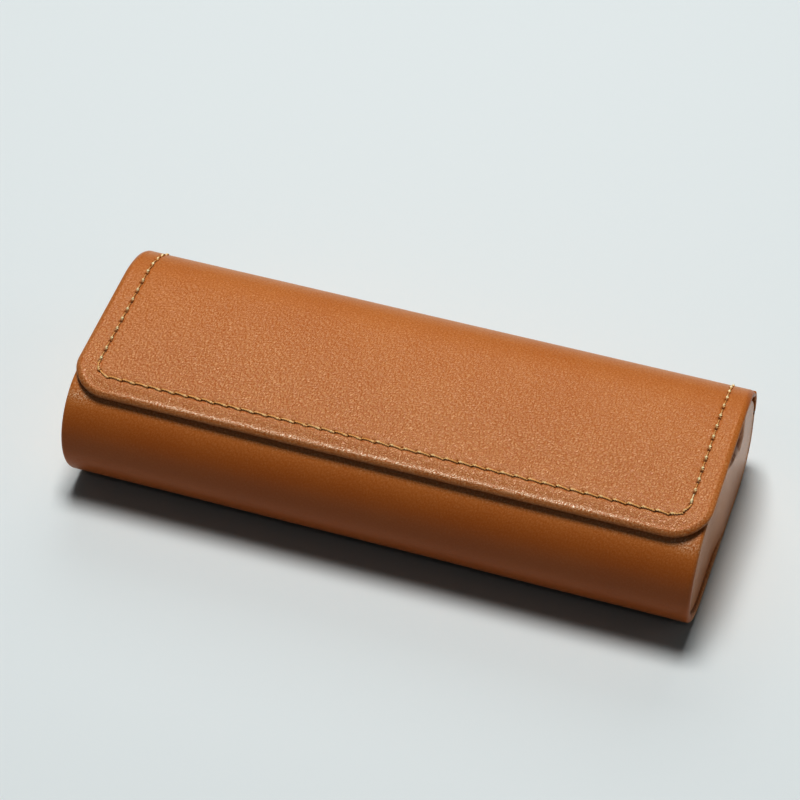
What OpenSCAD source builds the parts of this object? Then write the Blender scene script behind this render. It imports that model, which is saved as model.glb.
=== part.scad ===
// Eyeglasses case: a wrapped hard shell with a magnetic flap.
//
// One sheet of leather runs from the front lip, under the base and up the
// rear wall, then over the top as the flap. Every section is drawn in the
// YZ plane as stretches of round and straight, and stretched along X.
// X runs along the case, the front faces -Y, and the base stands on Z = 0.
// The origin is the middle of the base of the case's box.

/* [Case] */
// Length of the wrapped shell, end to end
body_l = 162; // [150:1:175]
// Depth of the case, front to rear
body_d = 66; // [62:1:72]
// Radius of the round front wall
front_r = 16.4; // [15:0.1:17.5]
// Radius of the round upper rear edge
rear_r = 20; // [19:0.1:21]
// Height of the centre of the upper rear edge
rear_z = 17.2; // [16.8:0.1:18]
// Radius of the lower rear edge
heel_r = 12; // [11:0.1:13]
// How far the lip runs back on top, from the front round
lip_run = 10.8; // [10:0.1:14]

/* [Flap] */
// How far the flap overhangs each end of the shell
flap_overhang = 0.35; // [0.2:0.05:0.6]
// Clear gap between the lip and the closed flap
flap_gap = 0.4; // [0.3:0.05:0.6]
// Direction in which the flap's front edge looks, from the rear, in degrees
flap_front_ang = 123; // [118:1:128]
// Radius of the flap's two front corners
flap_corner_r = 9.8; // [8:0.2:12]

/* [Hinge] */
// Where the bare leather of the hinge starts on the rear edge, in degrees
hinge_from = 5; // [3:1:8]
// Where the bare leather of the hinge ends, in degrees
hinge_to = 40; // [36:1:44]

/* [Layers] */
// Leather over the shell
cover_t = 0.7; // [0.6:0.05:0.8]
// Formed board of the shell
board_t = 1.6; // [1.4:0.05:1.8]
// Flannel lining, everywhere
lining_t = 0.6; // [0.5:0.05:0.7]
// Leather over the flap and the end panels
skin_t = 0.6; // [0.5:0.05:0.7]
// Board of the flap
flap_board_t = 0.7; // [0.6:0.05:0.9]
// Woven tape that bridges the two boards inside the hinge
tape_t = 0.3; // [0.2:0.05:0.4]

/* [End panels] */
// How far each panel sits inside the shell's turned end edge
end_recess = 0.8; // [0.6:0.1:1.2]
// Board of the end panels
end_board_t = 1.6; // [1.4:0.1:1.8]
// Radius of the panel's upper rear corner
end_corner_r = 13.2; // [12:0.2:14]
// Radius of the dip in the panel's top edge, under the flap
end_dip_r = 16; // [14:0.5:18]
// Lowest point of the dip, along Y
end_dip_y = -4.9; // [-6:0.1:-4]
// Lowest point of the dip, height above the base
end_dip_z = 27; // [26:0.1:28]
// Slack between the panel's edge and the shell around it
end_fit = 0.05; // [0.02:0.01:0.1]

/* [Magnets] */
// Radius of the magnet discs
magnet_r = 4; // [3:0.1:4.2]
// Distance of each magnet from the middle of the case
magnet_x = 48; // [30:1:60]
// Distance of the magnets behind the front round
magnet_run = 5.1; // [4.8:0.1:5.4]
// Play of a magnet in the hole of its board
magnet_play = 0.1; // [0.05:0.05:0.2]

/* [Stitching] */
// Distance of the stitch lines from the flap's side edges
stitch_side = 5.8; // [4:0.1:8]
// Distance of the front stitch line from the flap's front edge
stitch_front = 5.7; // [4:0.1:8]
// Radius of the stitch line's two front corners
stitch_corner_r = 4.6; // [3:0.1:6]
// Distance from one stitch hole to the next
stitch_pitch = 3.45; // [3:0.05:4]
// Length of thread that shows between two holes
stitch_l = 2.7; // [2:0.1:2.9]
// Radius of the thread
thread_r = 0.25; // [0.2:0.05:0.35]

/* [Hidden] */

leather = [0.68, 0.39, 0.17];
end_leather = [0.60, 0.36, 0.19];
flannel = [0.42, 0.26, 0.16];
grey_board = [0.55, 0.52, 0.47];
tape_cloth = [0.86, 0.83, 0.76];
magnet_nickel = [0.72, 0.72, 0.74];
thread = [0.84, 0.62, 0.30];

eps = 0.01;
arc_step = 6;                         // widest step along a round stretch, in degrees
magnet_fn = 64;
thread_fn = 16;

// Centres of the round stretches, as [Y, Z]
front_c = [front_r - body_d / 2, front_r];
heel_c = [body_d / 2 - heel_r, heel_r];
rear_c = [body_d / 2 - rear_r, rear_z];

// Depths below the shell's outer surface
board_in = cover_t + board_t;
lining_in = board_in + lining_t;

// The flap stands proud of the lip by its own thickness and the gap
flap_t = skin_t + flap_board_t + lining_t;
flap_step = flap_t + flap_gap;
flap_r = front_r + flap_step;
flap_l = body_l + 2 * flap_overhang;

// The straight top is a tangent of the front round and the rear round.
// The lip and the flap share its direction, so they lie parallel.
top_span = rear_c - front_c;
top_drop = flap_r - rear_r;
top_ang = atan2(top_span[1], top_span[0]) + acos(top_drop / norm(top_span));
top_run = sqrt(pow(norm(top_span), 2) - pow(top_drop, 2));
out_dir = [cos(top_ang), sin(top_ang)];
back_dir = [sin(top_ang), -cos(top_ang)];

// Arc lengths along the flap, from its front edge
flap_round = flap_r * (flap_front_ang - top_ang) * PI / 180;
flap_rear = rear_r * (top_ang - hinge_to) * PI / 180;
flap_run = flap_round + top_run + flap_rear;
flap_front_y = front_c[0] + flap_r * cos(flap_front_ang);

// The end panel's outline follows the inside of the shell's board
end_in = board_in + end_fit;
end_t = skin_t + end_board_t + lining_t;
end_face_x = body_l / 2 - end_recess;
end_touch_ang = 8;                    // where the corner's round leaves the rear wall
end_corner_c = rear_c + (rear_r - end_in - end_corner_r) * [cos(end_touch_ang), sin(end_touch_ang)];
end_dip_c = [end_dip_y, end_dip_z + end_dip_r];
end_span = end_dip_c - end_corner_c;
end_top_ang = atan2(end_span[1], end_span[0])
    - acos((end_corner_r + end_dip_r) / norm(end_span));

// ---- Outlines in the YZ plane ----

function dir(a) = [cos(a), sin(a)];
function deg(run, r) = run / r * 180 / PI;
function arc(c, r, a0, a1) =
    let (n = max(2, ceil(abs(a1 - a0) / arc_step)))
    [for (i = [0:n]) c + r * dir(a0 + (a1 - a0) * i / n)];
function reversed(p) = [for (i = [len(p) - 1:-1:0]) p[i]];

// The shell at a depth below its surface, from the lip round to the hinge
function shell_line(depth, lip_cut, hinge_cut) = concat(
    [front_c + (front_r - depth) * out_dir + (lip_run - lip_cut) * back_dir],
    arc(front_c, front_r - depth, top_ang, 270),
    arc(heel_c, heel_r - depth, 270, 360),
    arc(rear_c, rear_r - depth, 0, hinge_from - deg(hinge_cut, rear_r)));

// The flap at a depth below its surface, from the hinge to its front edge
function flap_line(depth, front_cut, hinge_cut) = concat(
    arc(rear_c, rear_r - depth, hinge_to + deg(hinge_cut, rear_r), top_ang),
    arc(front_c, flap_r - depth, top_ang, flap_front_ang - deg(front_cut, flap_r)));

function shell_layer(d0, d1, lip_cut = 0, hinge_cut = 0) = concat(
    shell_line(d0, lip_cut, hinge_cut), reversed(shell_line(d1, lip_cut, hinge_cut)));
function flap_layer(d0, d1, front_cut = 0, hinge_cut = 0) = concat(
    flap_line(d0, front_cut, hinge_cut), reversed(flap_line(d1, front_cut, hinge_cut)));
function hinge_layer(d0, d1) = concat(
    arc(rear_c, rear_r - d0, hinge_from, hinge_to),
    arc(rear_c, rear_r - d1, hinge_to, hinge_from));

// Where the dip of the end panel runs out under the lip
function dip_end(inset) =
    let (h = (end_dip_c - front_c) * out_dir - (front_r - end_in - inset))
    top_ang + 180 - acos(h / (end_dip_r + inset));
function end_outline(inset) = concat(
    arc(front_c, front_r - end_in - inset, top_ang, 270),
    arc(heel_c, heel_r - end_in - inset, 270, 360),
    arc(end_corner_c, end_corner_r - inset, 0, end_top_ang),
    arc(end_dip_c, end_dip_r + inset, end_top_ang + 180, dip_end(inset)));

// ---- Solids from the outlines ----

module along_x(length) {
    rotate([90, 0, 90])
        linear_extrude(height = length, center = true)
            children();
}

module from_x(x0, x1) {
    translate([x0, 0, 0])
        rotate([90, 0, 90])
            linear_extrude(height = x1 - x0)
                children();
}

// The flap seen from above, drawn in by an inset, with its round front corners
module flap_plan(inset) {
    half = flap_l / 2 - inset;
    front = flap_front_y + inset;
    r = flap_corner_r - inset;
    rear = body_d / 2 + eps;
    translate([-half, front + r])
        square([2 * half, rear - front - r]);
    translate([r - half, front])
        square([2 * (half - r), rear - front]);
    for (side = [-1, 1])
        translate([side * (half - r), front + r])
            circle(r = r, $fn = 96);
}

module flap_sheet(d0, d1, inset, hinge_cut = 0) {
    intersection() {
        along_x(flap_l - 2 * inset)
            polygon(flap_layer(d0, d1, inset, hinge_cut));
        linear_extrude(height = body_d)
            flap_plan(inset);
    }
}

// A disc standing on the straight top, under its outer surface by a depth
module top_disc(x, surface_r, depth, radius, thick) {
    place = front_c + (surface_r - depth) * out_dir + magnet_run * back_dir;
    translate([x, place[0], place[1]])
        rotate([top_ang - 90, 0, 0])
            cylinder(r = radius, h = thick, center = true, $fn = magnet_fn);
}

// ---- Body of the case ----

// Leather over the outside, turned in over the board's lip and end edges
module outer_cover() {
    color(leather)
        difference() {
            along_x(body_l)
                polygon(shell_layer(0, board_in));
            along_x(body_l - 2 * cover_t)
                polygon(shell_layer(cover_t, board_in + eps, cover_t, -eps));
        }
}

// Formed board that gives the shell its shape, with a hole for each magnet
module shell_board() {
    color(grey_board)
        difference() {
            along_x(body_l - 2 * cover_t)
                polygon(shell_layer(cover_t, board_in, cover_t, lining_t));
            for (side = [-1, 1])
                top_disc(side * magnet_x, front_r, cover_t + board_t / 2,
                    magnet_r + magnet_play, board_t + 2 * lining_t);
        }
}

// Flannel inside the shell, folded over the board's edge at the hinge
module body_lining() {
    color(flannel)
        difference() {
            along_x(2 * (end_face_x - end_t))
                polygon(shell_layer(cover_t, lining_in));
            along_x(body_l)
                polygon(shell_layer(cover_t - eps, board_in, -eps, lining_t));
        }
}

// Leather of an end panel, turned over the edge of its board all round
module end_cover(side) {
    color(end_leather)
        mirror([side < 0 ? 1 : 0, 0, 0])
            difference() {
                from_x(end_face_x - end_t, end_face_x)
                    polygon(end_outline(0));
                from_x(end_face_x - end_t - eps, end_face_x - skin_t)
                    polygon(end_outline(skin_t));
            }
}

module end_board(side) {
    color(grey_board)
        mirror([side < 0 ? 1 : 0, 0, 0])
            from_x(end_face_x - skin_t - end_board_t, end_face_x - skin_t)
                polygon(end_outline(skin_t));
}

module end_lining(side) {
    color(flannel)
        mirror([side < 0 ? 1 : 0, 0, 0])
            from_x(end_face_x - end_t, end_face_x - skin_t - end_board_t)
                polygon(end_outline(skin_t));
}

module lip_magnet(side) {
    color(magnet_nickel)
        top_disc(side * magnet_x, front_r, cover_t + board_t / 2, magnet_r, board_t);
}

// ---- Hinge: bare leather, tape and flannel between the two boards ----

module hinge_cover() {
    color(leather)
        along_x(body_l)
            polygon(hinge_layer(0, cover_t));
}

module hinge_tape() {
    color(tape_cloth)
        along_x(body_l - 4 * cover_t)
            polygon(hinge_layer(cover_t, cover_t + tape_t));
}

module hinge_lining() {
    color(flannel)
        along_x(body_l - 4 * cover_t)
            polygon(hinge_layer(cover_t + tape_t, cover_t + tape_t + lining_t));
}

// ---- Flap ----

// Leather over the flap, turned in round the board's edge
module flap_cover() {
    color(leather)
        difference() {
            flap_sheet(0, skin_t + flap_board_t, 0);
            flap_sheet(skin_t, skin_t + flap_board_t + eps, skin_t, -eps);
        }
}

module flap_board() {
    color(grey_board)
        difference() {
            flap_sheet(skin_t, skin_t + flap_board_t, skin_t);
            for (side = [-1, 1])
                top_disc(side * magnet_x, flap_r, skin_t + flap_board_t / 2,
                    magnet_r + magnet_play, flap_board_t + lining_t);
        }
}

module flap_lining() {
    color(flannel)
        flap_sheet(flap_t - lining_t, flap_t, skin_t / 2);
}

module flap_magnet(side) {
    color(magnet_nickel)
        top_disc(side * magnet_x, flap_r, skin_t + flap_board_t / 2, magnet_r, flap_board_t);
}

// ---- Stitching ----

// A point on the flap at a run from its front edge, and the way its surface looks
function flap_ang(run) =
    run < flap_round ? flap_front_ang - deg(run, flap_r)
    : run < flap_round + top_run ? top_ang
    : top_ang - deg(run - flap_round - top_run, rear_r);
function flap_point(run, lift) =
    let (a = flap_ang(run))
    run < flap_round ? front_c + (flap_r + lift) * dir(a)
    : run < flap_round + top_run
        ? front_c + (flap_r + lift) * out_dir + (run - flap_round) * back_dir
    : rear_c + (rear_r + lift) * dir(a);

// One stitch lying on the flap, at a place on it and at an angle across it
module stitch(x, run, across) {
    place = flap_point(run, thread_r + eps);
    translate([x, place[0], place[1]])
        rotate([flap_ang(run) - 90, 0, 0])
            rotate([90, 0, across])
                cylinder(r = thread_r, h = stitch_l, center = true, $fn = thread_fn);
}

// Thread down both sides and along the front, with a turn at each corner
module flap_stitching() {
    half = flap_l / 2 - stitch_side;
    side_from = stitch_front + stitch_corner_r;
    side_n = floor((flap_run - side_from) / stitch_pitch);
    front_run = 2 * (half - stitch_corner_r);
    front_n = round(front_run / stitch_pitch);
    front_pitch = front_run / front_n;
    color(thread) {
        for (i = [0:front_n - 1])
            stitch(-front_run / 2 + (i + 0.5) * front_pitch, stitch_front, 90);
        for (side = [-1, 1]) {
            for (i = [0:side_n - 1])
                stitch(side * half, side_from + (i + 0.5) * stitch_pitch, 0);
            for (a = [22.5, 67.5])
                stitch(side * (half - stitch_corner_r + stitch_corner_r * cos(a)),
                    side_from - stitch_corner_r * sin(a), -side * a);
        }
    }
}

outer_cover();
shell_board();
body_lining();
end_cover(-1);  // end_cover_left
end_cover(1);  // end_cover_right
end_board(-1);  // end_board_left
end_board(1);  // end_board_right
end_lining(-1);  // end_lining_left
end_lining(1);  // end_lining_right
lip_magnet(-1);  // lip_magnet_left
lip_magnet(1);  // lip_magnet_right
hinge_cover();
hinge_tape();
hinge_lining();
flap_cover();
flap_board();
flap_lining();
flap_magnet(-1);  // flap_magnet_left
flap_magnet(1);  // flap_magnet_right
flap_stitching();
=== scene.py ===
import math

import bmesh
import bpy
import numpy as np
from mathutils import Matrix, Vector


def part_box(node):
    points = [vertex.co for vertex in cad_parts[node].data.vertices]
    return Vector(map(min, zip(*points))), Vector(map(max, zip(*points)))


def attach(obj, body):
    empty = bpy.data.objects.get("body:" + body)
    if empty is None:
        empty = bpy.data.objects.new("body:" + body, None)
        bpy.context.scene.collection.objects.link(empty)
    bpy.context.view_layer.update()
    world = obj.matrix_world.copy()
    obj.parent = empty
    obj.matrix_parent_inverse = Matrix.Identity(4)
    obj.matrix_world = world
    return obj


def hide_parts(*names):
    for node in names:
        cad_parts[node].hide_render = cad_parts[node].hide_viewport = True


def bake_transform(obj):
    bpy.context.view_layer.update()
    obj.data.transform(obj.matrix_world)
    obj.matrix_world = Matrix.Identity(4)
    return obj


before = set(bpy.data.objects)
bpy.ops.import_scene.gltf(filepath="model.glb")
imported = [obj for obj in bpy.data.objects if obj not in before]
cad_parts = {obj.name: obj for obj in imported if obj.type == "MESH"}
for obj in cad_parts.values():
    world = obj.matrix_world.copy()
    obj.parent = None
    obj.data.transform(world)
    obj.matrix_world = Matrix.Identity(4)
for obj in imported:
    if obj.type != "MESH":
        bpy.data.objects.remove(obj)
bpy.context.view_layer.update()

# ==== Outer cover ========================================================================
# Smooth caramel leather, glued over formed board from the lip on top, down the round front,
# under the base and up the rear wall. It is turned in over the board's ends and over the lip,
# so its edges are folds and not cuts, pleated a little where they go round the curves.

MM = 0.001


def box_mm(node):
    """The lowest and highest corners of a CAD node, in millimetres."""
    return [np.array(corner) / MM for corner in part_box(node)]


class Line:
    """A line in the YZ plane, of rounds and straights, measured along its own length."""

    def __init__(self):
        self.stretches = []
        self.length = 0.0

    def round(self, centre, radius, start, end):
        size = math.radians(end - start) * radius
        self.stretches.append((self.length, size, np.array(centre), radius, start, None))
        self.length += size
        return self.length

    def straight(self, start, size, look):
        self.stretches.append((self.length, size, np.array(start), 0.0, look, heading(look)))
        self.length += size
        return self.length

    def at(self, run, depth):
        """Y and Z of the points at a run along the line and a depth under it."""
        run, depth = np.broadcast_arrays(np.asarray(run, float), np.asarray(depth, float))
        y, z = np.zeros(run.shape), np.zeros(run.shape)
        for number, (begin, size, origin, radius, angle, way) in enumerate(self.stretches):
            first, last = number == 0, number == len(self.stretches) - 1
            here = (first | (run >= begin)) & (last | (run < begin + size))
            along = (run - begin)[here]
            if way is None:
                turn = math.radians(angle) + along / radius
                y[here] = origin[0] + (radius - depth[here]) * np.cos(turn)
                z[here] = origin[1] + (radius - depth[here]) * np.sin(turn)
            else:
                out = compass(angle)
                y[here] = origin[0] + along * way[0] - depth[here] * out[0]
                z[here] = origin[1] + along * way[1] - depth[here] * out[1]
        return y, z


def compass(angle):
    """The direction at an angle in the YZ plane, from +Y towards +Z, in degrees."""
    return np.array([math.cos(math.radians(angle)), math.sin(math.radians(angle))])


def heading(look):
    """The way that the line runs where its surface looks that way."""
    return compass(look + 90)


shell_low, shell_high = box_mm("outer_cover")
body_half = shell_high[0]
flap_half = box_mm("flap_cover")[1][0]

front_r = 16.4
heel_r = 12.0
rear_r = 20.0
rear_rise = 17.2          # height of the rear round's centre
lip_run = 10.8            # how far the lip runs back under the flap
proud = 2.3               # how far the closed flap stands off the lip
hinge_from, hinge_to = 5.0, 40.0    # where the hinge lies on the rear round, in degrees
flap_front_angle = 123.0  # where the flap ends on the front round

front_c = np.array([shell_low[1] + front_r, shell_low[2] + front_r])
heel_c = np.array([shell_high[1] - heel_r, shell_low[2] + heel_r])
rear_c = np.array([shell_high[1] - rear_r, shell_low[2] + rear_rise])
flap_r = front_r + proud
top_span = rear_c - front_c
top_angle = math.degrees(math.atan2(top_span[1], top_span[0])
                         + math.acos((flap_r - rear_r) / np.linalg.norm(top_span)))
top_run = math.sqrt(np.linalg.norm(top_span) ** 2 - (flap_r - rear_r) ** 2)

# Every layer of the case is placed by its run along this line and its depth under it. The line
# goes from the lip round the shell, over the hinge and forward again as the flap.
wrap = Line()
lip_back = front_c + front_r * compass(top_angle) - lip_run * heading(top_angle)
wrap.straight(lip_back, lip_run, top_angle)
front_end = wrap.round(front_c, front_r, top_angle, 270)
base_end = wrap.straight([front_c[0], shell_low[2]], heel_c[0] - front_c[0], 270)
wrap.round(heel_c, heel_r, 270, 360)
wrap.straight([shell_high[1], heel_c[1]], rear_c[1] - heel_c[1], 360)
hinge_start = wrap.round(rear_c, rear_r, 0, hinge_from)
hinge_end = wrap.round(rear_c, rear_r, hinge_from, hinge_to)
wrap.round(rear_c, rear_r, hinge_to, top_angle)
wrap.straight(rear_c + rear_r * compass(top_angle), top_run, top_angle)
flap_edge = wrap.round(front_c, flap_r, top_angle, flap_front_angle)


def steps(start, end, size):
    """Evenly spaced marks from start to end, about size apart."""
    return np.linspace(start, end, max(1, round(abs(end - start) / size)) + 1)


def fold_marks(radius, count=6):
    """Distances from a folded edge at which a round fold of that radius is bent."""
    return radius * (1 - np.cos(np.linspace(0, math.pi / 2, count)))


class Cut:
    """A cut sheet marked out in lines: across it, and back from its one free edge.

    The lines near the two sides and the free edge follow the edge round its corners.
    band is how wide that margin is, and set_in draws the whole outline inwards.
    """

    def __init__(self, half, band, corner, marks, across, back, set_in=0.0):
        width = band - set_in
        share = 1 - np.asarray(marks) / band
        rest = np.zeros(len(across))
        arm_x = np.concatenate([share[:-1], rest, share[:-1][::-1]])
        foot_x = np.concatenate([
            np.full(len(share) - 1, band - half), across, np.full(len(share) - 1, half - band)])
        side = np.sign(foot_x)
        arm_t = np.concatenate([share[:-1], np.zeros(len(back))])
        foot_t = np.concatenate([np.full(len(share) - 1, band), back])
        arm_x, arm_t = np.meshgrid(arm_x, arm_t, indexing="ij")
        longest, shortest = np.maximum(arm_x, arm_t), np.minimum(arm_x, arm_t)
        self.from_edge = set_in + width * (1 - longest)
        bend = np.maximum(corner - self.from_edge, 0)
        flat = width * longest - bend
        travel = shortest / np.maximum(longest, 1e-9) * (flat + bend * math.pi / 4)
        turn = np.clip((travel - flat) / np.maximum(bend, 1e-9), 0, math.pi / 4)
        near_x = arm_x >= arm_t
        far = np.where(travel <= flat, width * longest, flat + bend * np.cos(turn))
        near = np.where(travel <= flat, travel, flat + bend * np.sin(turn))
        self.x = foot_x[:, None] + side[:, None] * np.where(near_x, far, near)
        self.t = foot_t[None, :] - np.where(near_x, near, far)


def quads(kept):
    """The corners of a sheet's marked cells, as four index arrays."""
    i, j = np.nonzero(kept)
    return [(i, j), (i + 1, j), (i + 1, j + 1), (i, j + 1)]


def sheet_faces(shape, turned=None):
    """The faces of a closed sheet over a grid of that shape.

    Layer 0 is its outside and layer 3 its inside. Where turned cells are given, layers 1 and
    2 line the pocket for the board, and layer 3 is only the turned-in margin.
    """
    rows, columns = shape
    size = rows * columns
    full = np.ones((rows - 1, columns - 1), bool)
    faces = []

    def index(layer, i, j):
        return layer * size + np.asarray(i) * columns + np.asarray(j)

    def lay(layer, kept):
        faces.append(np.stack([index(layer, i, j) for i, j in quads(kept)], axis=1))

    def wall(upper, lower, i0, j0, i1, j1):
        faces.append(np.stack([index(upper, i0, j0), index(upper, i1, j1),
                               index(lower, i1, j1), index(lower, i0, j0)], axis=1))

    def walls_round(kept, upper, lower, only=None):
        """Walls on the outline of the marked cells, on the sheet's rim, its cut end or inside."""
        padded = np.pad(kept, 1)
        for di, dj in ((-1, 0), (1, 0), (0, -1), (0, 1)):
            beyond = padded[1 + di:rows + di, 1 + dj:columns + dj]
            i, j = np.nonzero(kept & ~beyond)
            i0, j0 = i + (di > 0), j + (dj > 0)
            i1, j1 = i0 + (dj != 0), j0 + (di != 0)
            cut_end = (dj > 0) & (j0 == columns - 1)
            rim = (((i0 == 0) & (i1 == 0)) | ((i0 == rows - 1) & (i1 == rows - 1))
                   | ((j0 == 0) & (j1 == 0)))
            place = np.where(cut_end, "cut", np.where(rim, "rim", "inside"))
            chosen = np.ones(len(i), bool) if only is None else np.isin(place, only)
            wall(upper, lower, i0[chosen], j0[chosen], i1[chosen], j1[chosen])

    lay(0, full)
    if turned is None:
        lay(3, full)
        walls_round(full, 0, 3)
        return np.concatenate(faces)
    lay(1, full)
    lay(2, turned)
    lay(3, turned)
    walls_round(full, 0, 3, ["rim"])
    walls_round(full, 1, 2, ["rim"])
    walls_round(full, 0, 1, ["cut"])
    walls_round(turned, 3, 2, ["cut", "inside"])
    for i in (0, rows - 1):
        faces.append(np.array([[index(layer, i, columns - 1) for layer in (0, 3, 2, 1)]]))
    return np.concatenate(faces)


def make_piece(name, points, faces, finish, crease=38.0, **painted):
    """A piece from points in millimetres, with values painted on its points."""
    used, faces = np.unique(np.asarray(faces), return_inverse=True)
    faces = faces.reshape(-1, 4)
    mesh = bpy.data.meshes.new(name)
    mesh.from_pydata((np.asarray(points)[used] * MM).tolist(), [], faces.tolist())
    shape = bmesh.new()
    shape.from_mesh(mesh)
    bmesh.ops.recalc_face_normals(shape, faces=shape.faces)
    shape.to_mesh(mesh)
    shape.free()
    mesh.shade_smooth()
    mesh.set_sharp_from_angle(angle=math.radians(crease))
    for label, values in painted.items():
        values = np.asarray(values, np.float32)[used]
        kind = "FLOAT_VECTOR" if values.ndim == 2 else "FLOAT"
        store = mesh.attributes.new(label, kind, "POINT")
        store.data.foreach_set("vector" if values.ndim == 2 else "value", values.ravel())
    mesh.materials.append(finish.material)
    piece = bpy.data.objects.new(name, mesh)
    bpy.context.scene.collection.objects.link(piece)
    return piece


def laid(x, run, depth):
    """Points in millimetres at a place across the case, a run along the wrap and a depth."""
    y, z = wrap.at(run, depth)
    return np.stack([np.broadcast_to(x, y.shape), y, z], axis=-1).reshape(-1, 3)


def lay_values(x, run, depth):
    """Where each point lies on the flat sheet, which is what the finishes are drawn on."""
    x, run, depth = np.broadcast_arrays(x, run, depth)
    return np.stack([x, run, depth], axis=-1).reshape(-1, 3)


class Wire:
    """A value in a material, so that sums on it read as sums."""

    def __init__(self, finish, socket):
        self.finish, self.socket = finish, socket

    def math(self, operation, *others):
        sockets = dict(enumerate([self, *others]))
        return self.finish.node("ShaderNodeMath", {"operation": operation}, sockets)

    def __add__(self, other):
        return self.math("ADD", other)

    def __radd__(self, other):
        return self.math("ADD", other)

    def __sub__(self, other):
        return self.math("SUBTRACT", other)

    def __rsub__(self, other):
        return self.finish.node("ShaderNodeMath", {"operation": "SUBTRACT"}, {0: other, 1: self})

    def __mul__(self, other):
        return self.math("MULTIPLY", other)

    def __rmul__(self, other):
        return self.math("MULTIPLY", other)

    def between(self, low, high):
        """0 up to low, 1 from high, and a smooth rise between them."""
        return self.finish.node("ShaderNodeMapRange", {"interpolation_type": "SMOOTHSTEP"},
                                {"Value": self, "From Min": low, "From Max": high})


class Finish:
    """One material, built of nodes round one Principled shader."""

    def __init__(self, name, **plain):
        self.material = bpy.data.materials.new(name)
        self.material.use_nodes = True
        self.nodes = self.material.node_tree.nodes
        self.links = self.material.node_tree.links
        self.shader = self.nodes["Principled BSDF"]
        for label, value in plain.items():
            label = label.replace("_", " ").title().replace("Ior", "IOR")
            self.shader.inputs[label].default_value = value

    def node(self, kind, settings=None, sockets=None, out=0):
        made = self.nodes.new(kind)
        for label, value in (settings or {}).items():
            setattr(made, label, value)
        for label, value in (sockets or {}).items():
            if isinstance(value, Wire):
                self.links.new(value.socket, made.inputs[label])
            elif isinstance(value, tuple) and made.inputs[label].type == "RGBA":
                made.inputs[label].default_value = (*value, 1)
            else:
                made.inputs[label].default_value = value
        return Wire(self, made.outputs[out])

    def painted(self, label, out="Fac"):
        return self.node("ShaderNodeAttribute", {"attribute_name": label}, out=out)

    def mix(self, share, first, second):
        """A colour between two colours."""
        return self.node("ShaderNodeMix", {"data_type": "RGBA"},
                         {0: share, 6: first, 7: second}, 2)

    def noise(self, place, scale, detail=2.0, rough=0.5):
        return self.node("ShaderNodeTexNoise", {"noise_dimensions": "3D"},
                         {"Vector": place, "Scale": scale, "Detail": detail, "Roughness": rough})

    def stretch(self, place, angle, scale):
        """The same place, turned about the sheet's normal and stretched."""
        turned = self.node("ShaderNodeVectorRotate", {"rotation_type": "Z_AXIS"},
                           {"Vector": place, "Angle": math.radians(angle)})
        return self.node("ShaderNodeVectorMath", {"operation": "MULTIPLY"}, {0: turned, 1: scale})

    def drive(self, label, wire):
        self.links.new(wire.socket, self.shader.inputs[label])

    def emboss(self, height, deep):
        """Raises the surface by height times deep, in metres."""
        bump = self.node("ShaderNodeBump", None,
                         {"Height": height, "Distance": deep, "Strength": 1.0})
        self.drive("Normal", bump)


caramel = (0.56, 0.200, 0.030)
# also used as painted shade in the grain's creases and on the front wall and base
caramel_deep = (0.37, 0.080, 0.006)
caramel_light = (0.59, 0.226, 0.042)
# a painted highlight colour, laid on the grain's tops
caramel_shine = (0.82, 0.53, 0.31)
# a painted highlight colour, laid along the flap's front ridge and on the lip beside the flap's
# front corners
caramel_rubbed = (1.0, 0.84, 0.68)
# a painted shade colour, laid in the stitch holes and groove, under the flap's front roll and at
# the foot of the front wall
caramel_painted_shade = (0.10, 0.025, 0.006)
grain_deep = 0.00009      # depth of the leather's grain, in metres

leather = Finish("caramel_leather", specular_ior_level=0.35)
place = leather.painted("lay", "Vector")
wander = leather.node("ShaderNodeTexNoise", None,
                      {"Vector": place, "Scale": 0.9, "Detail": 1.0}, 1)
bent = leather.node("ShaderNodeVectorMath", {"operation": "ADD"}, {0: place, 1: leather.node(
    "ShaderNodeVectorMath", {"operation": "SCALE"}, {0: wander, "Scale": 0.9})})
creases = leather.node(
    "ShaderNodeTexVoronoi", {"feature": "DISTANCE_TO_EDGE", "voronoi_dimensions": "2D"},
    {"Vector": leather.stretch(bent, 56, (0.62, 1.9, 1)), "Scale": 1.35})
cross_creases = leather.node(
    "ShaderNodeTexVoronoi", {"feature": "DISTANCE_TO_EDGE", "voronoi_dimensions": "2D"},
    {"Vector": leather.stretch(bent, -34, (0.7, 1.8, 1)), "Scale": 1.4})
pebbles = creases.between(0.0, 0.42) * 0.65 + cross_creases.between(0.0, 0.36) * 0.35
pores = leather.noise(place, 5.5, 2.0)
coarse = leather.painted("coarse")
grain = pebbles * coarse * 0.85 + pores * 0.25
leather.emboss(grain, grain_deep)
cloudy = leather.noise(place, 0.045, 3.0, 0.55)
mottle = leather.noise(place, 0.7, 2.0)
tone = leather.mix(cloudy.between(0.3, 0.7), caramel, caramel_light)
# The grain's creases are painted darker as painted shade, mixed with random mottle; its tops are
# then painted paler as a painted highlight.
tone = leather.mix((1 - pebbles) * coarse * 0.52 + mottle * 0.12, tone, caramel_deep)
tone = leather.mix(pebbles * coarse * 0.70, tone, caramel_shine)
# Where the grain is faintest, mostly on the front wall and base, the leather is painted darker:
# painted shade.
tone = leather.mix((1 - coarse).between(0.6, 0.86) * 0.62, tone, caramel_deep)
# Painted highlight along the flap's front ridge and beside its corners, broken up by the grain.
rubbed = leather.painted("rubbed")
tone = leather.mix(pebbles.between(0.1, 0.8) * rubbed * 0.85, tone, caramel_rubbed)
# Painted shade, wherever each piece's mask lays it.
tone = leather.mix(leather.painted("pressed") * 0.85, tone, caramel_painted_shade)
leather.drive("Base Color", tone)
leather.drive("Roughness", 0.28 - pebbles * coarse * 0.05 - rubbed * 0.06 + mottle * 0.08)

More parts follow.
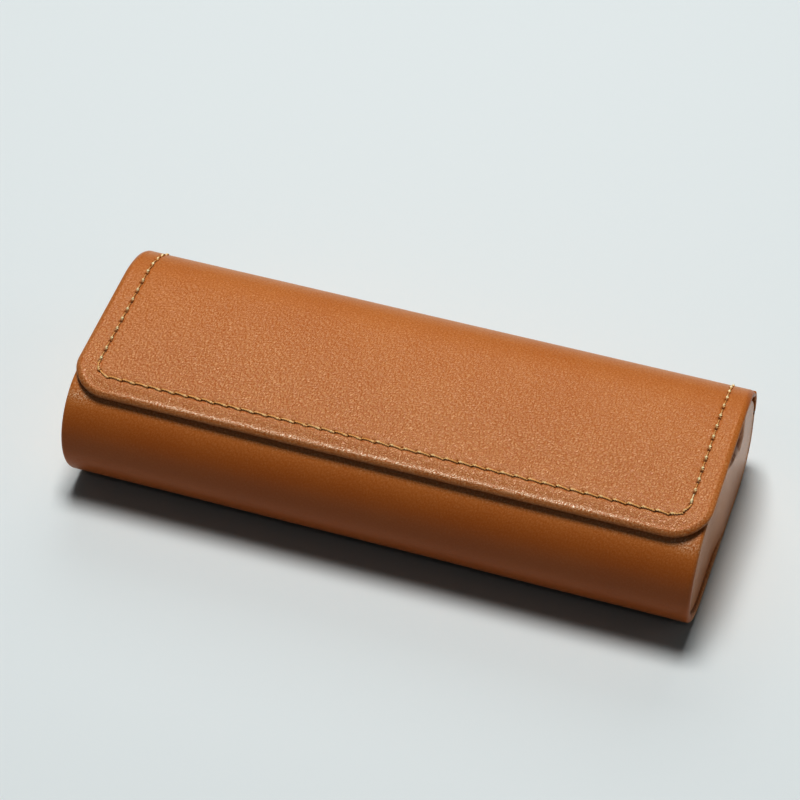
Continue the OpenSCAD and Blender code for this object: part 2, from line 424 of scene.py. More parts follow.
cover_t = 0.7
shell_t = 2.3             # leather and board together
turn_in = 7.0
end_fold = 0.95           # radius of the leather's fold over the shell's ends
margin = 8.0              # how wide the marking follows the edge
turned_under = 0.06       # how far the turned-in leather stands off the board
pleat_pitch = 1.35
pleat_in, pleat_out = 0.16, 0.07    # depth of the pleats inside and outside the fold
pleats_from = front_end - 14        # where the outside starts to pleat


def fold_depth(from_edge, radius):
    """How far a round fold falls away near the edge."""
    short = np.clip(radius - from_edge, 0, radius)
    return radius - np.sqrt(radius ** 2 - short ** 2)


def hand_made(x, run):
    """The slight swell and hollow of leather glued over board by hand."""
    return (0.050 * np.sin(x / 23.0 + 1.3) * np.cos(run / 15.0 + 0.4)
            + 0.035 * np.sin(x / 9.7 + run / 12.1))


marks = np.concatenate([fold_marks(end_fold, 8), steps(1.4, turn_in, 0.8), [margin]])
cover_cut = dict(half=body_half, band=margin, corner=1.6, marks=marks,
                 across=steps(margin - body_half, body_half - margin, 2.4),
                 back=steps(margin, hinge_start, 0.45))
outside = Cut(**cover_cut)
pocket = Cut(**cover_cut, set_in=cover_t)
edge = outside.from_edge
wave = np.sin(outside.t * 2 * math.pi / pleat_pitch + 1.7 * np.sin(outside.t / 3.1))
near_end = np.exp(-(edge / 0.8) ** 2) * (outside.t > margin)
top = (fold_depth(edge, end_fold) - hand_made(outside.x, outside.t) * np.clip(edge / 6, 0, 1)
       + pleat_out * (1 + wave) * near_end * (outside.t > pleats_from))
under = shell_t + turned_under - fold_depth(edge, end_fold) + pleat_in * wave * near_end
farthest = np.maximum.reduce([edge[:-1, :-1], edge[1:, :-1], edge[:-1, 1:], edge[1:, 1:]])
depths = [top, np.full(edge.shape, cover_t), np.full(edge.shape, shell_t - cover_t), under]
cuts = [outside, pocket, pocket, outside]
points = np.concatenate([laid(c.x, c.t, depth) for c, depth in zip(cuts, depths)])
on_sheet = np.concatenate([lay_values(c.x, c.t, depth) for c, depth in zip(cuts, depths)])
# Low values here also paint the front wall and base darker, as painted shade.
grained = (0.09 + 0.60 * np.exp(-(outside.t / 23) ** 2)
           + 0.25 * np.clip((outside.t - base_end) / (hinge_start - base_end), 0, 1)
           + 0.65 * near_end * (outside.t > pleats_from))
# Painted shade along the lowest part of the front wall, kept off the folded ends.
wall_foot_painted_shade = 0.80 * np.exp(-((outside.t - front_end + 9) / 7) ** 2) * np.clip(edge / 2, 0, 1)
# A painted highlight on the lip beside the flap's front corners, which also strengthens the grain
# there.
beside = np.exp(-((outside.t - 19.6) / 1.5) ** 2) * np.exp(-((edge - 3.5) / 4) ** 2)
outer_cover = make_piece(
    "outer_cover_leather", points, sheet_faces(edge.shape, farthest < turn_in + 0.01), leather,
    lay=on_sheet, coarse=np.tile((grained + 0.4 * beside).ravel(), 4),
    rubbed=np.tile(0.45 * beside.ravel(), 4), pressed=np.tile(wall_foot_painted_shade.ravel(), 4))
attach(outer_cover, "case")
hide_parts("outer_cover")

# ==== Boards and lip magnets ==============================================================
# Formed grey board gives the shell and its two ends their shape, and is glued inside the
# leather. Two nickel-plated discs sit in holes in the lip's board and hold the flap shut.

grey_board = Finish("formed_grey_board")
fibre = grey_board.noise(grey_board.node("ShaderNodeTexCoord", out="Object"), 900, 4.0, 0.6)
grey_board.drive("Base Color", grey_board.mix(fibre.between(0.35, 0.65),
                                              (0.30, 0.27, 0.23), (0.44, 0.40, 0.35)))
grey_board.drive("Roughness", 0.80 + fibre * 0.15)
grey_board.emboss(fibre, 0.00005)

nickel = Finish("nickel_plate", metallic=1.0)
scratch = nickel.noise(nickel.node("ShaderNodeTexCoord", out="Object"), 1500, 2.0)
nickel.drive("Base Color", nickel.mix(scratch, (0.62, 0.61, 0.58), (0.74, 0.73, 0.70)))
nickel.drive("Roughness", 0.22 + scratch * 0.16)
nickel.emboss(scratch, 0.00001)


def refinish(node, finish):
    """Gives a CAD part its finish and leaves its shape alone."""
    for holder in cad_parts[node].material_slots:
        holder.material = finish.material


refinish("shell_board", grey_board)
for side in ("left", "right"):
    refinish("end_board_" + side, grey_board)
    refinish("lip_magnet_" + side, nickel)

# ==== Body lining =========================================================================
# Short-napped brown flannel, glued inside the shell and folded over the board's edge where
# the hinge begins.

flannel = Finish("brown_flannel", sheen_weight=0.35, sheen_roughness=0.45, specular_ior_level=0.2)
nap_place = flannel.painted("lay", "Vector")
nap = flannel.noise(nap_place, 2.6, 4.0, 0.65)
fuzz = flannel.noise(flannel.stretch(nap_place, 12, (1.0, 2.6, 1)), 6.0, 2.0)
brushed = flannel.noise(nap_place, 0.10, 2.0)
cloth = flannel.mix(nap.between(0.3, 0.7), (0.075, 0.036, 0.020), (0.150, 0.078, 0.046))
cloth = flannel.mix(brushed.between(0.42, 0.62) * 0.35, cloth, (0.20, 0.115, 0.07))
flannel.drive("Base Color", cloth)
flannel.drive("Roughness", 0.86 + fuzz * 0.12)
flannel.emboss(nap * 0.7 + fuzz * 0.5, 0.00016)

lining_t = 0.6
lining_half = box_mm("body_lining")[1][0]
lining_from = 0.35        # where it starts, in from the lip's folded edge
lining_fold = 0.25        # radius of its soft edge


def lining_piece(name, half, corner, edge_run, way, length, deep, fold_back):
    """Flannel glued under a board, from its free edge to where it folds over at the hinge."""
    band = max(corner, 2.0)
    marks = np.concatenate([fold_marks(lining_fold, 5), steps(0.6, band, 0.7)])
    back = steps(band, length - fold_back - 0.05, 1.8)
    cut = Cut(half, band, corner, marks, steps(band - half, half - band, 2.2),
              np.concatenate([back, [length - fold_back, length]]))
    run = edge_run + way * cut.t
    uneven = (0.05 * np.sin(cut.x / 6.3) * np.sin(run / 5.1)
              + 0.04 * np.sin(cut.x / 2.9 + run / 3.7))
    upper = np.where(cut.t > length - fold_back - 0.01, cover_t + 0.05, deep)
    upper = upper + fold_depth(cut.from_edge, lining_fold)
    lower = deep + lining_t - fold_depth(cut.from_edge, lining_fold) - np.abs(uneven)
    depths = (upper, upper, upper, lower)
    points = np.concatenate([laid(cut.x, run, depth) for depth in depths])
    on_sheet = np.concatenate([lay_values(cut.x, run, depth) for depth in depths])
    return make_piece(name, points, sheet_faces(cut.x.shape), flannel, lay=on_sheet)


body_lining = lining_piece("body_lining_flannel", lining_half, 0.8, lining_from, 1,
                           hinge_start - lining_from, shell_t, lining_t)
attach(body_lining, "case")
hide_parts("body_lining")

# ==== End panels ==========================================================================
# Each end is closed by a board covered in smooth leather, pushed in a little way past the
# shell's turned edge. Its top edge dips under the flap, and its upper rear corner is rounded
# well clear of the hinge. Inside it is lined with the same flannel.

end_leather = Finish("smooth_end_leather", specular_ior_level=0.05, coat_ior=1.6,
                     coat_roughness=0.27)
end_place = end_leather.painted("lay", "Vector")
end_pores = end_leather.noise(end_place, 4.5, 2.0)
end_cloud = end_leather.noise(end_place, 0.12, 3.0)
end_tone = end_leather.mix(end_cloud.between(0.3, 0.7) * 0.7 + end_pores * 0.2,
                           (0.64, 0.260, 0.085), (0.70, 0.305, 0.115))
# Painted shade in the hollow under the flap: dark red-brown, with less coat.
end_pressed = end_leather.painted("pressed")
end_leather.drive("Base Color", end_leather.mix(end_pressed, end_tone, (0.19, 0.036, 0.012)))
end_leather.drive("Coat Weight", (1 - end_pressed) * 0.8)
end_leather.drive("Roughness", 0.32 + end_pores * 0.12 + end_pressed * 0.2)
end_leather.emboss(end_pores, 0.00002)

skin_t = 0.6
end_board_t = 1.6
end_low, end_high = box_mm("end_cover_right")
end_face = end_high[0]
end_back = end_low[0]
end_fit = 2.35            # depth of the panel's edge under the wrap
corner_r = 13.2           # the panel's own round at its upper rear corner
corner_look = 8.0
dip_r = 16.0              # the hollow in its top edge, under the flap
dip_y, dip_bottom = -4.9, 27.0
dip_c = np.array([dip_y, dip_bottom + dip_r])
middle = np.array([-1.5, 13.5])     # Y and Z of the panel's middle
corner_c = rear_c + (rear_r - end_fit - corner_r) * compass(corner_look)
dip_span = dip_c - corner_c
rise_angle = math.degrees(math.atan2(dip_span[1], dip_span[0])
                          - math.acos((corner_r + dip_r) / np.linalg.norm(dip_span)))


def panel_outline(set_in, count=240):
    """The end panel's edge in the YZ plane, drawn in, as evenly spread points."""
    drop = (dip_c - front_c) @ compass(top_angle) - (front_r - end_fit - set_in)
    dip_end = top_angle + 180 - math.degrees(math.acos(drop / (dip_r + set_in)))

    def bow(centre, radius, start, end):
        return [centre + radius * compass(a) for a in steps(start, end, 3.0)]

    corners = np.array(bow(front_c, front_r - end_fit - set_in, top_angle, 270)
                       + bow(heel_c, heel_r - end_fit - set_in, 270, 360)
                       + bow(corner_c, corner_r - set_in, 0, rise_angle)
                       + bow(dip_c, dip_r + set_in, rise_angle + 180, dip_end))
    closed = np.concatenate([corners, corners[:1]])
    along = np.concatenate([[0], np.cumsum(np.linalg.norm(np.diff(closed, axis=0), axis=1))])
    at = np.linspace(0, along[-1], count, endpoint=False)
    return np.stack([np.interp(at, along, closed[:, k]) for k in (0, 1)], axis=1)


def toward_middle(outline, share):
    """The outline shrunk towards the panel's middle."""
    return outline + (middle - outline) * share


def eased(value):
    """A smooth rise from 0 to 1."""
    value = np.clip(value, 0, 1)
    return value * value * (3 - 2 * value)


def crowded(outline):
    """How far the panel is squeezed up over the wrap's edge: not at the front, fully behind."""
    return eased((outline[:, 0] + 5) / 13)


def spread(outline, size):
    """The outline pushed outwards where the panel is squeezed up."""
    way = np.roll(outline, -1, axis=0) - np.roll(outline, 1, axis=0)
    away = np.column_stack([way[:, 1], -way[:, 0]]) / np.linalg.norm(way, axis=1)[:, None]
    return outline + away * (size * crowded(outline))[:, None]


def dented(outline):
    """The hollow sunk into the panel's top edge under the flap, where painted shade is also laid.
    """
    behind = 18.4 - outline[:, 0]
    return (eased(behind / 1.3) * eased((outline[:, 0] - 1) / 5)
            * eased((outline[:, 1] - 20.4 - 0.42 * behind) / 1.5))


def panel_piece(name, rings, finish, side):
    """A closed piece from rings of (outline, x), from the middle of its face to its back."""
    count = len(rings[0][0])
    points = np.concatenate([
        np.column_stack([np.broadcast_to(x, count) * side, ring[:, 0], ring[:, 1]])
        for ring, x in rings])
    here = np.arange(count)
    beyond = (here + 1) % count
    faces = [np.stack([k * count + here, k * count + beyond,
                       (k + 1) * count + beyond, (k + 1) * count + here], axis=1)
             for k in range(len(rings) - 1)]
    half = count // 2
    for k in (0, len(rings) - 1):
        left, right = np.arange(half - 1), np.arange(count - 1, half, -1)
        left_next, right_next = left + 1, np.concatenate([right[1:], [half]])
        faces.append(k * count + np.stack([left, left_next, right_next[:half - 1],
                                           right[:half - 1]], axis=1))
    on_sheet = np.column_stack([points[:, 1], points[:, 2], points[:, 0]])
    outer = np.abs(points[:, 0]) > end_back + 1
    # Painted shade over the hollow under the flap, on the outer face only.
    pressed = np.concatenate([dented(ring) for ring, x in rings]) * outer
    return make_piece(name, points, np.concatenate(faces), finish,
                      lay=on_sheet, pressed=pressed * 0.85)


face_fold = 0.55
squeeze = 0.75            # how far the panel is spread over the wrap's edge behind
proud_by = 0.70           # how far it stands out there
dent_deep = 1.1
face_shares = (0.98, 0.9, 0.8, 0.7, 0.6, 0.54, 0.48, 0.42, 0.37, 0.32, 0.27, 0.23, 0.19, 0.15,
               0.11, 0.07, 0.03)
edge_gap = 0.02           # between the board's covered edge and the lining
lining_soft = 0.28        # how far the lining's edge is rounded
for side, word in ((-1, "left"), (1, "right")):
    rings = []
    for share in face_shares:
        ring = toward_middle(spread(panel_outline(face_fold), squeeze), share)
        bulge = (0.10 * np.sin(ring[:, 0] / 7.0 + side) * np.sin(ring[:, 1] / 6.0)
                 * min(1, share * 3))
        rings.append((ring, end_face - 0.1 + bulge + proud_by * crowded(ring)
                      - dent_deep * dented(ring)))
    for lean in np.linspace(90, 0, 7):
        drawn = face_fold * (1 - math.cos(math.radians(lean)))
        ring = spread(panel_outline(drawn), squeeze)
        rings.append((ring, end_face - face_fold * (1 - math.sin(math.radians(lean)))
                      + proud_by * crowded(ring) - dent_deep * dented(ring)))
    rings.append((panel_outline(0), end_face - face_fold - 0.5))
    rings.append((panel_outline(0), end_back + 0.1))
    rings.append((panel_outline(0.15), end_back))
    rings.append((panel_outline(skin_t), end_back))
    rings.append((panel_outline(skin_t), end_face - skin_t))
    rings.append((toward_middle(panel_outline(skin_t), 0.5), end_face - skin_t))
    rings.append((toward_middle(panel_outline(skin_t), 0.985), end_face - skin_t))
    end_cover = panel_piece("end_cover_leather_" + word, rings, end_leather, side)
    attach(end_cover, "case")
    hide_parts("end_cover_" + word)

    near, far = end_face - skin_t - end_board_t, end_back
    full, soft = skin_t + edge_gap, skin_t + lining_soft
    rings = [(toward_middle(panel_outline(full), share), near) for share in (0.985, 0.5, 0.1)]
    rings += [(panel_outline(full), near), (panel_outline(full), far + 0.25),
              (panel_outline(skin_t + 0.1), far + 0.08), (panel_outline(soft), far)]
    for share in (0.08, 0.25, 0.45, 0.65, 0.85, 0.985):
        ring = toward_middle(panel_outline(soft), share)
        uneven = 0.05 * np.abs(np.sin(ring[:, 0] / 2.3) * np.sin(ring[:, 1] / 2.9))
        rings.append((ring, far + uneven))
    end_lining = panel_piece("end_lining_flannel_" + word, rings, flannel, side)
    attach(end_lining, "case")
    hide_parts("end_lining_" + word)
    cut = panel_outline(full) * MM
    beyond = np.roll(cut, -1, axis=0)
    cut_area = abs(np.sum(cut[:, 0] * beyond[:, 1] - cut[:, 1] * beyond[:, 0])) / 2

# ==== Hinge ===============================================================================
# Between the two boards the leather runs on bare, backed by a woven tape and the flannel.

tape_cloth = Finish("woven_cotton_tape")
tape_place = tape_cloth.painted("lay", "Vector")
warp = tape_cloth.node("ShaderNodeTexWave", {"wave_type": "BANDS", "bands_direction": "X"},
                       {"Vector": tape_place, "Scale": 0.9, "Distortion": 0.4})
weft = tape_cloth.node("ShaderNodeTexWave", {"wave_type": "BANDS", "bands_direction": "Y"},
                       {"Vector": tape_place, "Scale": 0.9, "Distortion": 0.4})
tape_cloth.drive("Base Color", tape_cloth.mix(warp * weft, (0.50, 0.46, 0.38), (0.74, 0.70, 0.60)))
tape_cloth.drive("Roughness", 0.80 + warp * 0.1)
tape_cloth.emboss(warp + weft, 0.00005)

tape_t = 0.3
strip_in = 1.4            # how much shorter tape and flannel are than the leather, each end


def hinge_strip(name, half_from, half_to, depth, thick, fold, finish, **painted):
    """A strip across the hinge, with folded ends, laid round the curve between shell and flap."""
    length = hinge_end - hinge_start
    half = max(half_from, half_to)
    ends = fold_marks(fold, 7)
    x = np.concatenate([ends - half, steps(1.5 - half, half - 1.5, 2.4), half - ends[::-1]])
    t = steps(0, length, 0.35)
    x, t = np.meshgrid(x, t, indexing="ij")
    edge = half - np.abs(x)
    run = hinge_start + t
    scale = (half_from + (half_to - half_from) * t / length) / half
    upper = depth + fold_depth(edge, fold)
    lower = depth + thick - fold_depth(edge, min(fold, thick / 2.2))
    depths = (upper, upper, upper, lower)
    points = np.concatenate([laid(x * scale, run, depth) for depth in depths])
    on_sheet = np.concatenate([lay_values(x * scale, run, depth) for depth in depths])
    values = {label: np.full(len(points), value) for label, value in painted.items()}
    return make_piece(name, points, sheet_faces(x.shape), finish, lay=on_sheet, **values)


hinge_cover = hinge_strip("hinge_cover_leather", body_half, flap_half, 0.0, cover_t, 0.32,
                          leather, coarse=0.34, pressed=0.0)
strip_half = body_half - strip_in
hinge_tape = hinge_strip("hinge_tape_woven", strip_half, strip_half, cover_t, tape_t,
                         0.1, tape_cloth)
hinge_lining = hinge_strip("hinge_lining_flannel", strip_half, strip_half, cover_t + tape_t,
                           lining_t, 0.2, flannel)
bend_from = (0, *(np.array(wrap.at(hinge_start, 0.5)) * MM))
bend_to = (0, *(np.array(wrap.at(hinge_end, 0.5)) * MM))
for strip, node in ((hinge_cover, "hinge_cover"), (hinge_tape, "hinge_tape"),
                    (hinge_lining, "hinge_lining")):
    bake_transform(strip)
    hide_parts(node)

# ==== Flap cover ==========================================================================
# The same leather goes on over the flap's thin board and is turned in round its sides, its
# round front corners and its front edge. A line of stitching runs a little way in from the
# edge, and pulls the leather down into a shallow groove with a hole at every stitch.

flap_skin_t = 0.6
flap_board_t = 0.7
flap_shell_t = flap_skin_t + flap_board_t
flap_margin_t = 0.3       # the turned-in margin lies this much under the board
flap_corner = 9.8
flap_fold = 0.60          # radius of the leather's fold on the flap's underside
flap_round = 1.45         # how far in from the edge the padded top starts to roll over
flap_roll = 0.86          # how far it rolls down
stitch_in = 5.7           # distance of the stitching from the edge
flap_run = flap_edge - hinge_end

corner_stitches = 2
front_stitches = 41
side_stitches = 14
front_straight = 2 * (flap_half - flap_corner)
corner_turn = (flap_corner - stitch_in) * math.pi / 2
side_straight = flap_run - flap_corner
pitch = front_straight / front_stitches
side_pitch = side_straight / side_stitches

hole_marks = np.array([-0.42, -0.2, 0.0, 0.2, 0.42])


def marks_at_holes(start, gap, count):
    """Marks bunched at every stitch hole, so that the holes are real hollows."""
    holes = start + gap * np.arange(count + 1)
    marks = np.concatenate([(holes[:, None] + hole_marks).ravel(), holes + gap / 2])
    return np.unique(np.round(np.clip(marks, start, start + gap * count), 4))


margin = flap_corner
near_stitch = stitch_in + np.array([-1.1, -0.7, -0.42, -0.2, 0.0, 0.2, 0.42, 0.7, 1.1])
marks = np.concatenate([fold_marks(flap_round, 12), [1.7, 2.0, 2.4, 3.0, 3.8], near_stitch,
                        [7.6, 8.7, margin]])
flap_cut = dict(half=flap_half, band=margin, corner=flap_corner, marks=marks,
                across=marks_at_holes(-front_straight / 2, pitch, front_stitches),
                back=marks_at_holes(margin, side_pitch, side_stitches))
outside = Cut(**flap_cut)
pocket = Cut(**flap_cut, set_in=flap_skin_t)
edge = outside.from_edge
run = flap_edge - outside.t


def from_hole(x, t):
    """How far a place on the flap is from the stitch line, and from the nearest hole along it."""
    corner_x, corner_t = np.abs(x) - (flap_half - flap_corner), flap_corner - t
    reach = np.hypot(np.maximum(corner_x, 0), np.maximum(corner_t, 0))
    aside = (flap_corner - reach) - stitch_in
    aside = np.where((corner_x <= 0) & (corner_t <= 0), 9.0, aside)
    turn = np.arctan2(np.maximum(corner_t, 0), np.maximum(corner_x, 0)) * (flap_corner - stitch_in)
    gap = corner_turn / corner_stitches
    beat = np.where(corner_x <= 0, (x + front_straight / 2) / pitch,
                    np.where(corner_t <= 0, (t - flap_corner) / side_pitch, turn / gap))
    size = np.where(corner_x <= 0, pitch, np.where(corner_t <= 0, side_pitch, gap))
    return aside, (beat - np.round(beat)) * size


flap_slide = 0.38         # the flap was glued on this far to one side


def flap_laid(x, run, depth):
    """Points on the flap, which slides over a little as it leaves the hinge."""
    return laid(x + flap_slide * eased((run - hinge_end) / 16), run, depth)


flap_turn_in = 7.7
hole_r, hole_deep = 0.38, 0.55
hole_shift = 0.22         # the front line's holes lie this much nearer the edge than its thread
groove_deep = 0.10
plump_high, bead_high = 0.10, 0.20  # the padded swell outside the stitching, and the edge's bead

aside, along = from_hole(outside.x, outside.t)
clear = np.clip((flap_run - outside.t) / 8, 0, 1)
soft = np.clip((edge - 1) / 4, 0, 1) * clear
at_front = eased((11 - outside.t) / 8)
groove = groove_deep * np.exp(-(aside / 0.6) ** 2)
hole = np.exp(-((aside + hole_shift * at_front) ** 2 + along ** 2) / hole_r ** 2)
plump = plump_high * np.exp(-((edge - 3.4) / 1.8) ** 2)
bead = bead_high * np.exp(-((edge - 1.4) / 0.6) ** 2) * clear
top = (fold_depth(edge, flap_round) * flap_roll / flap_round + groove + hole_deep * hole
       - bead - plump * soft - hand_made(outside.x, run) * soft)
under = flap_shell_t + flap_margin_t - fold_depth(edge, flap_fold)
farthest = np.maximum.reduce([edge[:-1, :-1], edge[1:, :-1], edge[:-1, 1:], edge[1:, 1:]])
depths = [top, np.full(edge.shape, flap_skin_t), np.full(edge.shape, flap_shell_t), under]
cuts = [outside, pocket, pocket, outside]
points = np.concatenate([flap_laid(c.x, flap_edge - c.t, d) for c, d in zip(cuts, depths)])
on_sheet = np.concatenate([lay_values(c.x, flap_edge - c.t, d) for c, d in zip(cuts, depths)])
grained = ((1.0 - 0.66 * np.clip((outside.t - 14) / 38, 0, 1))
           * (1 - 0.45 * np.exp(-(edge / (1.3 - 0.4 * at_front)) ** 2)))
# A painted highlight along the top of the flap's front roll, fading towards the corners.
rubbed = (eased((flap_half - 4 - np.abs(outside.x)) / 26) * at_front
          * np.exp(-((edge - 1.75) / 0.45) ** 2))
# Painted shade in each stitch hole, faintly along the stitch line, and on the lower face of the
# flap's front roll.
pressed = (hole * 1.15 + 0.07 * np.exp(-(aside / 0.4) ** 2)
           + 0.30 * at_front * np.exp(-(edge / 0.45) ** 2))
flap_cover = make_piece(
    "flap_cover_leather", points, sheet_faces(edge.shape, farthest < flap_turn_in), leather,
    lay=on_sheet, coarse=np.tile(grained.ravel(), 4), rubbed=np.tile(rubbed.ravel(), 4),
    pressed=np.tile(np.clip(pressed, 0, 1).ravel(), 4))
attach(flap_cover, "flap")
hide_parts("flap_cover")

# ==== Flap board, magnets and lining ======================================================
# A thin formed board stiffens the flap, with a nickel-plated disc in each of its two holes.
# Flannel is glued underneath and folded over the board's edge at the hinge.

refinish("flap_board", grey_board)
for side in ("left", "right"):
    refinish("flap_magnet_" + side, nickel)

lining_in = 1.7           # how far the flannel stays in from the flap's edge
flap_lining = lining_piece("flap_lining_flannel", flap_half - lining_in,
                           flap_corner - lining_in, flap_edge - lining_in, -1,
                           flap_run - lining_in, flap_shell_t, lining_t)
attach(flap_lining, "flap")
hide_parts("flap_lining")

# ==== Flap stitching ======================================================================
# Two-ply golden thread. Each stitch comes up out of one hole, lies in the groove and goes
# down the next. Along the front the stitches lean and overlap, and down the sides each one
# stands up in a small head before it goes down.

thread = Finish("golden_thread", specular_ior_level=0.7)
# Stitches differ in tone at random; each head, and one stitch by the right front corner, are
# painted pale as painted highlights.
tint = thread.painted("tint")
lint = thread.noise(thread.painted("lay", "Vector"), 9.0, 2.0)
gold = thread.mix(tint, (0.76, 0.40, 0.11), (1.0, 0.94, 0.66))
thread.drive("Base Color", thread.mix(lint.between(0.4, 0.7) * 0.3, gold, (0.92, 0.52, 0.16)))
thread.drive("Roughness", 0.28 + lint * 0.2)
thread.emboss(lint, 0.00003)

ply_r = 0.14
ply_apart = 0.115
twist_pitch = 1.3
rise = 0.14               # how high the thread lies
knot_rise = 0.08          # how much higher it stands just before it goes down
slant = 0.36              # how far each stitch leans across the line

total_stitches = 2 * side_stitches + 2 * corner_stitches + front_stitches
pale_stitch = side_stitches - 1     # one pale stitch by the right front corner
rng = np.random.default_rng(7)


def stitch_place(beat):
    """Across the flap and back from its edge, at a count of stitches from the right rear."""
    beat = np.asarray(beat, float)
    mirrored = beat > total_stitches / 2
    b = np.where(mirrored, total_stitches - beat, beat)
    radius = flap_corner - stitch_in
    turn = np.clip((b - side_stitches) / corner_stitches, 0, 1) * math.pi / 2
    x = np.where(b < side_stitches, flap_half - stitch_in,
                 flap_half - flap_corner + radius * np.cos(turn))
    t = np.where(b < side_stitches, flap_run - b * side_pitch,
                 flap_corner - radius * np.sin(turn))
    past = np.maximum(b - side_stitches - corner_stitches, 0) * pitch
    x = np.where(past > 0, flap_half - flap_corner - past, x)
    return np.where(mirrored, -x, x), t


rings, sides = 21, 8
across_ring = np.linspace(0, 2 * math.pi, sides, endpoint=False)
points, faces, on_sheet, tints = [], [], [], []
for number in range(total_stitches):
    share = np.linspace(0, 1, rings)
    on_side = number < side_stitches or number >= total_stitches - side_stitches
    sink, inside = (0.50, 0.24) if on_side else (0.34, -0.06)   # down the hole, and along it
    beat = number + inside / pitch + share * (1 - 2 * inside / pitch)
    x, t = stitch_place(beat)
    step = np.stack(stitch_place(beat + 0.01), axis=1) - np.stack([x, t], axis=1)
    step /= np.linalg.norm(step, axis=1)[:, None]
    toward_front = share if number < total_stitches / 2 else 1 - share
    knot = np.exp(-((toward_front - 0.78) / 0.13) ** 2) * (1.0 if on_side else 0.40)
    hump = np.clip(np.sin(math.pi * share), 0, 1) ** 0.45
    height = -sink + (sink + rise * rng.uniform(0.8, 1.2)) * hump + knot_rise * knot
    lean = (rng.uniform(-0.10, 0.10) - (0 if on_side else slant)) * (share - 0.5)
    lie = share * pitch / twist_pitch * 2 * math.pi + rng.uniform(0, 2 * math.pi)
    swell = ((0.75 if on_side else 1.08) + knot)[:, None]
    for ply in (0, math.pi):
        off_side = ply_apart * np.cos(lie + ply) + lean
        off_up = height + ply_apart * np.sin(lie + ply)
        ring_side = (off_side[:, None] + ply_r * np.cos(across_ring)) * swell
        ring_up = off_up[:, None] + ply_r * np.sin(across_ring) * np.minimum(swell, 1.1)
        ring_x = x[:, None] - step[:, 1, None] * ring_side
        ring_t = t[:, None] + step[:, 0, None] * ring_side
        begin = sum(len(p) for p in points)
        points.append(flap_laid(ring_x, flap_edge - ring_t, -ring_up))
        on_sheet.append(lay_values(ring_x, flap_edge - ring_t, -ring_up))
        # One stitch by the right front corner is painted almost white, a painted highlight; the
        # others differ in tone at random, and each head is painted paler, also a painted
        # highlight.
        pale = 1.0 if number == pale_stitch else 0.05 + 0.25 * rng.random()
        tints.append(np.repeat(np.clip(pale + 0.8 * knot, 0, 1), sides))
        here = np.arange(sides)
        beyond = (here + 1) % sides
        for k in range(rings - 1):
            low, high = begin + k * sides, begin + (k + 1) * sides
            faces.append(np.stack([low + here, low + beyond, high + beyond, high + here], axis=1))
        for k in (0, rings - 1):
            cap = begin + k * sides
            faces.append(np.array([[cap, cap + 1, cap + 2, cap + 3],
                                   [cap, cap + 3, cap + 4, cap + 7],
                                   [cap + 4, cap + 5, cap + 6, cap + 7]]))
stitching = make_piece("flap_stitching_thread", np.concatenate(points), np.concatenate(faces),
                       thread, crease=80.0, lay=np.concatenate(on_sheet),
                       tint=np.concatenate(tints))
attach(stitching, "flap")
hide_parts("flap_stitching")

# ==== Floor, light and camera =============================================================
# A plain pale surface under one broad soft light from above, behind and to the left, with
# little light from the front.

paper = Finish("pale_floor", roughness=0.85, specular_ior_level=0.1)
paper.shader.inputs["Base Color"].default_value = (0.765, 0.792, 0.797, 1)
reach = 4.0
floor_mesh = bpy.data.meshes.new("floor")
floor_corners = [(-reach, -reach, 0), (reach, -reach, 0), (reach, reach, 0), (-reach, reach, 0)]
floor_mesh.from_pydata(floor_corners, [], [(0, 1, 2, 3)])
floor_mesh.materials.append(paper.material)
floor = bpy.data.objects.new("floor", floor_mesh)
bpy.context.scene.collection.objects.link(floor)


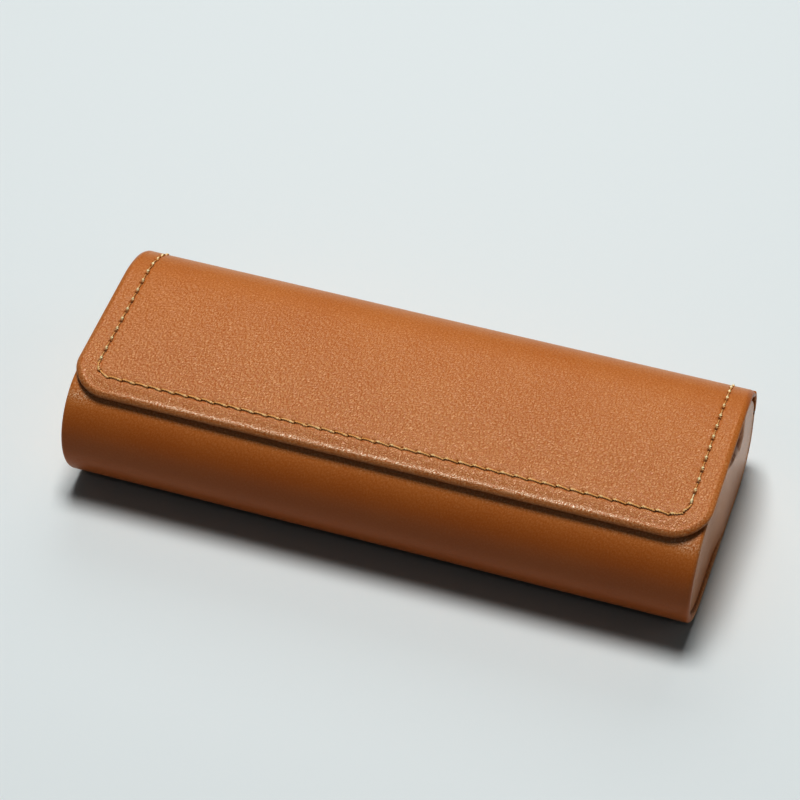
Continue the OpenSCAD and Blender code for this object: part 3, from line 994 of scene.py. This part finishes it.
def soft_light(name, place, aim, width, height, power, colour):
    """A broad rectangular light that looks at a point."""
    lamp = bpy.data.lights.new(name, "AREA")
    lamp.shape = "RECTANGLE"
    lamp.size, lamp.size_y = width, height
    lamp.energy = power
    lamp.color = colour
    holder = bpy.data.objects.new(name, lamp)
    holder.location = place
    away = np.array(aim) - np.array(place)
    holder.rotation_euler = Vector(away).to_track_quat("-Z", "Y").to_euler()
    bpy.context.scene.collection.objects.link(holder)


soft_light("key", (-0.08, 0.205, 1.5), (0, 0, 0), 0.50, 0.54, 20.6, (1.0, 0.995, 0.985))
soft_light("strip", (0.15, -0.85, 1.25), (0, 0, 0), 1.1, 0.05, 0.8, (1.0, 0.99, 0.97))
soft_light("back", (-0.3, 1.5, 1.35), (0, 0, 0), 1.3, 0.9, 6.5, (0.97, 0.985, 1.0))
soft_light("side", (1.6, 0.4, 0.6), (0, 0, 0), 0.9, 0.9, 1.3, (0.96, 0.98, 1.0))

world = bpy.data.worlds.new("studio")
world.use_nodes = True
world.node_tree.nodes["Background"].inputs["Color"].default_value = (0.58, 0.90, 1.0, 1)
world.node_tree.nodes["Background"].inputs["Strength"].default_value = 0.07
bpy.context.scene.world = world

azimuth, elevation, roll = 19.19, 45.93, -0.554
distance = 676.0          # from the middle of the case, in millimetres
lens = 120.99
aim_height = 17.0
slide_right, slide_up = -2.38, 7.78
a, e, r = (math.radians(v) for v in (azimuth, elevation, roll))
back = Vector((math.sin(a) * math.cos(e), -math.cos(a) * math.cos(e), math.sin(e)))
level = Vector((math.cos(a), math.sin(a), 0))
upright = back.cross(level)
right = math.cos(r) * level + math.sin(r) * upright
up = -math.sin(r) * level + math.cos(r) * upright
stand = back * distance + right * slide_right + up * slide_up + Vector((0, 0, aim_height))
camera = bpy.data.cameras.new("camera")
camera.lens = lens
camera.sensor_width = 36.0
camera.clip_start, camera.clip_end = 0.01, 20
holder = bpy.data.objects.new("camera", camera)
turned_to = Matrix((right, up, back)).transposed().to_4x4()
holder.matrix_world = Matrix.Translation(stand * MM) @ turned_to
bpy.context.scene.collection.objects.link(holder)
bpy.context.scene.camera = holder
bpy.context.scene.view_settings.view_transform = "Standard"
bpy.context.scene.view_settings.gamma = 0.7
